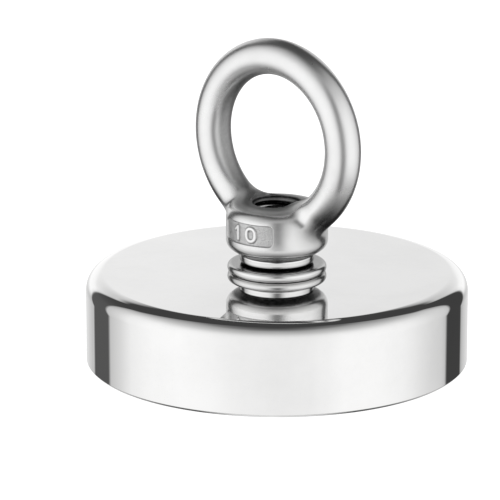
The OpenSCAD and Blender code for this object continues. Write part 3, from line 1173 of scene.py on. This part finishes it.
# By degrees off the middle, behind: the height of the wall's upper edge, and the share of its
# light below the horizon.
BACK_EDGE = ((115, 40), (150, 36), (165, 34), (171, 30), (176, 23), (180, 20))
LOW_BACK = ((140, 1.0), (148, 0.54), (154, 0.6), (162, 0.69), (173, 0.74), (180, 0.77))
# Share of the light that is left at each height below the horizon, all round.
BELOW_FADE = (
    (-90, 1.0), (-68, 1.0), (-60, 0.15), (-50, 0.27), (-44, 0.48), (-35, 0.74), (-25, 0.94),
    (-18, 1.0),
)
CEILING = 0.055             # brightness of the ceiling, and the least anywhere else
BACK_FROM = (112, 124)      # degrees off the middle over which front turns into back
SOFT_EDGE = 4               # half the width of the fade at the wall's upper edge behind


def profile(n, value, pairs, low, high):
    """A curve through pairs of angle and level, as straight stretches of a colour ramp. The
    ramp holds levels as shares of the highest."""
    top = max(level for _, level in pairs)
    node = n.add("ShaderNodeValToRGB")
    n.link(n.ramp(value, low, high, kind="LINEAR"), node.inputs["Fac"])
    stops = node.color_ramp.elements
    while len(stops) < len(pairs):
        stops.new(1.0)
    for stop, (angle, level) in zip(stops, pairs):
        stop.position = (angle - low) / (high - low)
        stop.color = (level / top, level / top, level / top, 1)
    return n.math("MULTIPLY", node.outputs["Color"], top)


# A dark gap in the room, straight in front.
GAP_MIDDLE = 1              # degrees round from the camera
GAP_SHARE = 0.8             # share of the light that is missing there
GAP_HALF = (1, 28)          # degrees off the middle at which it begins to fade, and ends
GAP_HEIGHT = ((-90, 0.0), (-62, 0.0), (-45, 1.0), (38, 1.0), (60, 0.0), (90, 0.0))


def gap(n, around, above):
    """The share of light that is missing in the gap: GAP_SHARE in its middle, and none past its
    sides, top and foot."""
    off = n.math("ABSOLUTE", n.math("SUBTRACT", around, GAP_MIDDLE))
    narrow = n.ramp(off, GAP_HALF[0], GAP_HALF[1], GAP_SHARE, 0.0)
    return n.math("MULTIPLY", narrow, profile(n, above, GAP_HEIGHT, -90, 90))


def directions(n, way):
    """Degrees round the horizon from the camera's place, and degrees above the horizon."""
    a = CAMERA_AZIMUTH
    aside = n.vector("DOT_PRODUCT", way, (math.cos(a), math.sin(a), 0))
    near = n.vector("DOT_PRODUCT", way, (math.sin(a), -math.cos(a), 0))
    height = n.vector("DOT_PRODUCT", way, (0, 0, 1))
    around, above = n.math("ARCTAN2", aside, near), n.math("ARCSINE", height)
    return [n.math("MULTIPLY", angle, 180 / math.pi) for angle in (around, above)]


def make_world():
    """A soft white room. In front its walls fade upwards into a dark ceiling. Behind the object
    they end at a sharper edge, lowest right behind it, and two dark uprights stand in them. The
    room is seen only in reflections: to the camera it is plain white."""
    world = bpy.data.worlds.new("studio")
    bpy.context.scene.world = world
    n = empty_tree(world)
    way = n.add("ShaderNodeTexCoord").outputs["Generated"]
    around, above = directions(n, way)
    off_middle = n.math("ABSOLUTE", around)
    walls = profile(n, around, WALLS, -180, 180)
    front = profile(n, above, FRONT_FADE, 0, 90)
    edge = profile(n, off_middle, BACK_EDGE, 115, 180)
    past_edge = n.ramp(n.math("SUBTRACT", above, edge), -SOFT_EDGE, SOFT_EDGE, 1.0, 0.0)
    back = n.math("MULTIPLY", profile(n, above, BACK_FADE, 0, 90), past_edge)
    behind = n.ramp(off_middle, BACK_FROM[0], BACK_FROM[1])
    fade = n.add("ShaderNodeMix", data_type="FLOAT")
    n.link(behind, fade.inputs["Factor"])
    n.link(front, fade.inputs["A"])
    n.link(back, fade.inputs["B"])
    level = n.math("MULTIPLY", walls, fade.outputs["Result"])
    level = n.math("MULTIPLY", level, profile(n, above, BELOW_FADE, -90, -18))
    dim = n.math("SUBTRACT", 1.0, profile(n, off_middle, LOW_BACK, 140, 180))
    dim = n.math("MULTIPLY", dim, n.ramp(above, -10, 2, 1.0, 0.0))
    level = n.math("MULTIPLY", level, n.math("SUBTRACT", 1.0, dim))
    lit = n.math("SUBTRACT", 1.0, gap(n, around, above))
    level = n.math("MULTIPLY", level, lit)
    room = n.add("ShaderNodeBackground")
    n.link(n.math("MAXIMUM", level, CEILING), room.inputs["Color"])
    white = n.add("ShaderNodeBackground")
    white.inputs["Color"].default_value = (1, 1, 1, 1)
    chosen = n.add("ShaderNodeMixShader")
    n.link(n.add("ShaderNodeLightPath").outputs["Is Camera Ray"], chosen.inputs[0])
    n.link(room.outputs[0], chosen.inputs[1])
    n.link(white.outputs[0], chosen.inputs[2])
    output = n.add("ShaderNodeOutputWorld")
    n.link(chosen.outputs[0], output.inputs["Surface"])


def make_floor():
    """A plain white floor that keeps a soft shadow. The metal sees the room through it, and
    from below it is clear, so that the holding face can be looked at."""
    material = bpy.data.materials.new("white floor")
    n = empty_tree(material)
    paint = n.add("ShaderNodeBsdfDiffuse")
    paint.inputs["Color"].default_value = (0.6, 0.6, 0.6, 1)
    glow = n.add("ShaderNodeEmission")
    glow.inputs["Color"].default_value = (0.8, 0.8, 0.8, 1)
    seen = n.add("ShaderNodeLightPath").outputs["Is Camera Ray"]
    n.link(seen, glow.inputs["Strength"])
    both = n.add("ShaderNodeAddShader")
    n.link(paint.outputs[0], both.inputs[0])
    n.link(glow.outputs[0], both.inputs[1])
    sided = n.add("ShaderNodeMixShader")
    n.link(n.add("ShaderNodeNewGeometry").outputs["Backfacing"], sided.inputs[0])
    n.link(both.outputs[0], sided.inputs[1])
    n.link(n.add("ShaderNodeBsdfTransparent").outputs[0], sided.inputs[2])
    n.link(sided.outputs[0], n.add("ShaderNodeOutputMaterial").inputs["Surface"])
    half, height = 4.0, -2e-5
    mesh = bpy.data.meshes.new("floor")
    corners = ((-half, -half), (half, -half), (half, half), (-half, half))
    mesh.from_pydata([(x, y, height) for x, y in corners], [], [(0, 1, 2, 3)])
    mesh.materials.append(material)
    floor = new_object("floor", mesh)
    floor.visible_glossy = False


def make_screen(pot):
    """A curved white screen in front, over the gap, which lights the pot alone. Its strength is
    the gap's share in each direction, and the room is seen through it."""
    material = bpy.data.materials.new("front screen")
    n = empty_tree(material)
    where = n.add("ShaderNodeTexCoord").outputs["Object"]
    around, above = directions(n, n.vector("NORMALIZE", where))
    level = profile(n, around, WALLS, -180, 180)
    level = n.math("MULTIPLY", level, profile(n, above, FRONT_FADE, 0, 90))
    glow = n.add("ShaderNodeEmission")
    n.link(n.math("MULTIPLY", level, gap(n, around, above)), glow.inputs["Strength"])
    both = n.add("ShaderNodeAddShader")
    n.link(n.add("ShaderNodeBsdfTransparent").outputs[0], both.inputs[0])
    n.link(glow.outputs[0], both.inputs[1])
    n.link(both.outputs[0], n.add("ShaderNodeOutputMaterial").inputs["Surface"])
    radius, half_height = 1.2, 2.3
    half_width = GAP_HALF[1] + 2
    turns = np.linspace(GAP_MIDDLE - half_width, GAP_MIDDLE + half_width, 31)
    # the camera's azimuth starts at -Y, a quarter turn before X
    angles = CAMERA_AZIMUTH + np.radians(turns) - TURN / 4
    points = polar(radius, angles, [[-half_height], [half_height]])
    mesh = bpy.data.meshes.new("front_screen")
    index = np.arange(points[..., 0].size).reshape(points.shape[:2])
    mesh.from_pydata(points.reshape(-1, 3), [], grid_quads(index).tolist())
    mesh.materials.append(material)
    screen = new_object("front_screen", mesh)
    screen.visible_camera = False
    screen.visible_diffuse = False
    screen.visible_shadow = False
    lit = bpy.data.collections.new("lit by the front screen")
    lit.objects.link(pot)
    screen.light_linking.receiver_collection = lit


def make_lamp():
    """A large soft lamp overhead, which the metal doesn't mirror."""
    light = bpy.data.lights.new("overhead", "AREA")
    light.shape = "DISK"
    light.size = 0.9
    light.energy = 5.0
    lamp = new_object("overhead", light)
    lamp.location = (0.0, 0.0, 1.1)
    lamp.visible_glossy = False


# ---------------------------------------------------------------- all of it together

bpy.context.scene.view_settings.view_transform = "Standard"
make_camera()
make_world()
make_floor()
make_lamp()

make_screen(make_pot(pot_nickel()))
make_magnet(magnet_nickel())
resin = black_resin()
make_resin("outer_resin_ring", "outer_resin", MAGNET_R, CAVITY_R, 3, resin)
make_resin("inner_resin_ring", "inner_resin", BUSH_R, MAGNET_HOLE_R, 8, resin)
make_bush(bush_steel())
make_screw(screw_steel())
make_flat_washer(washer_steel())
make_spring_washer(spring_steel())
make_eye_nut(eye_nut_steel())

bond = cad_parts["magnet_bond"]
bond.data.materials.clear()
bond.data.materials.append(adhesive())
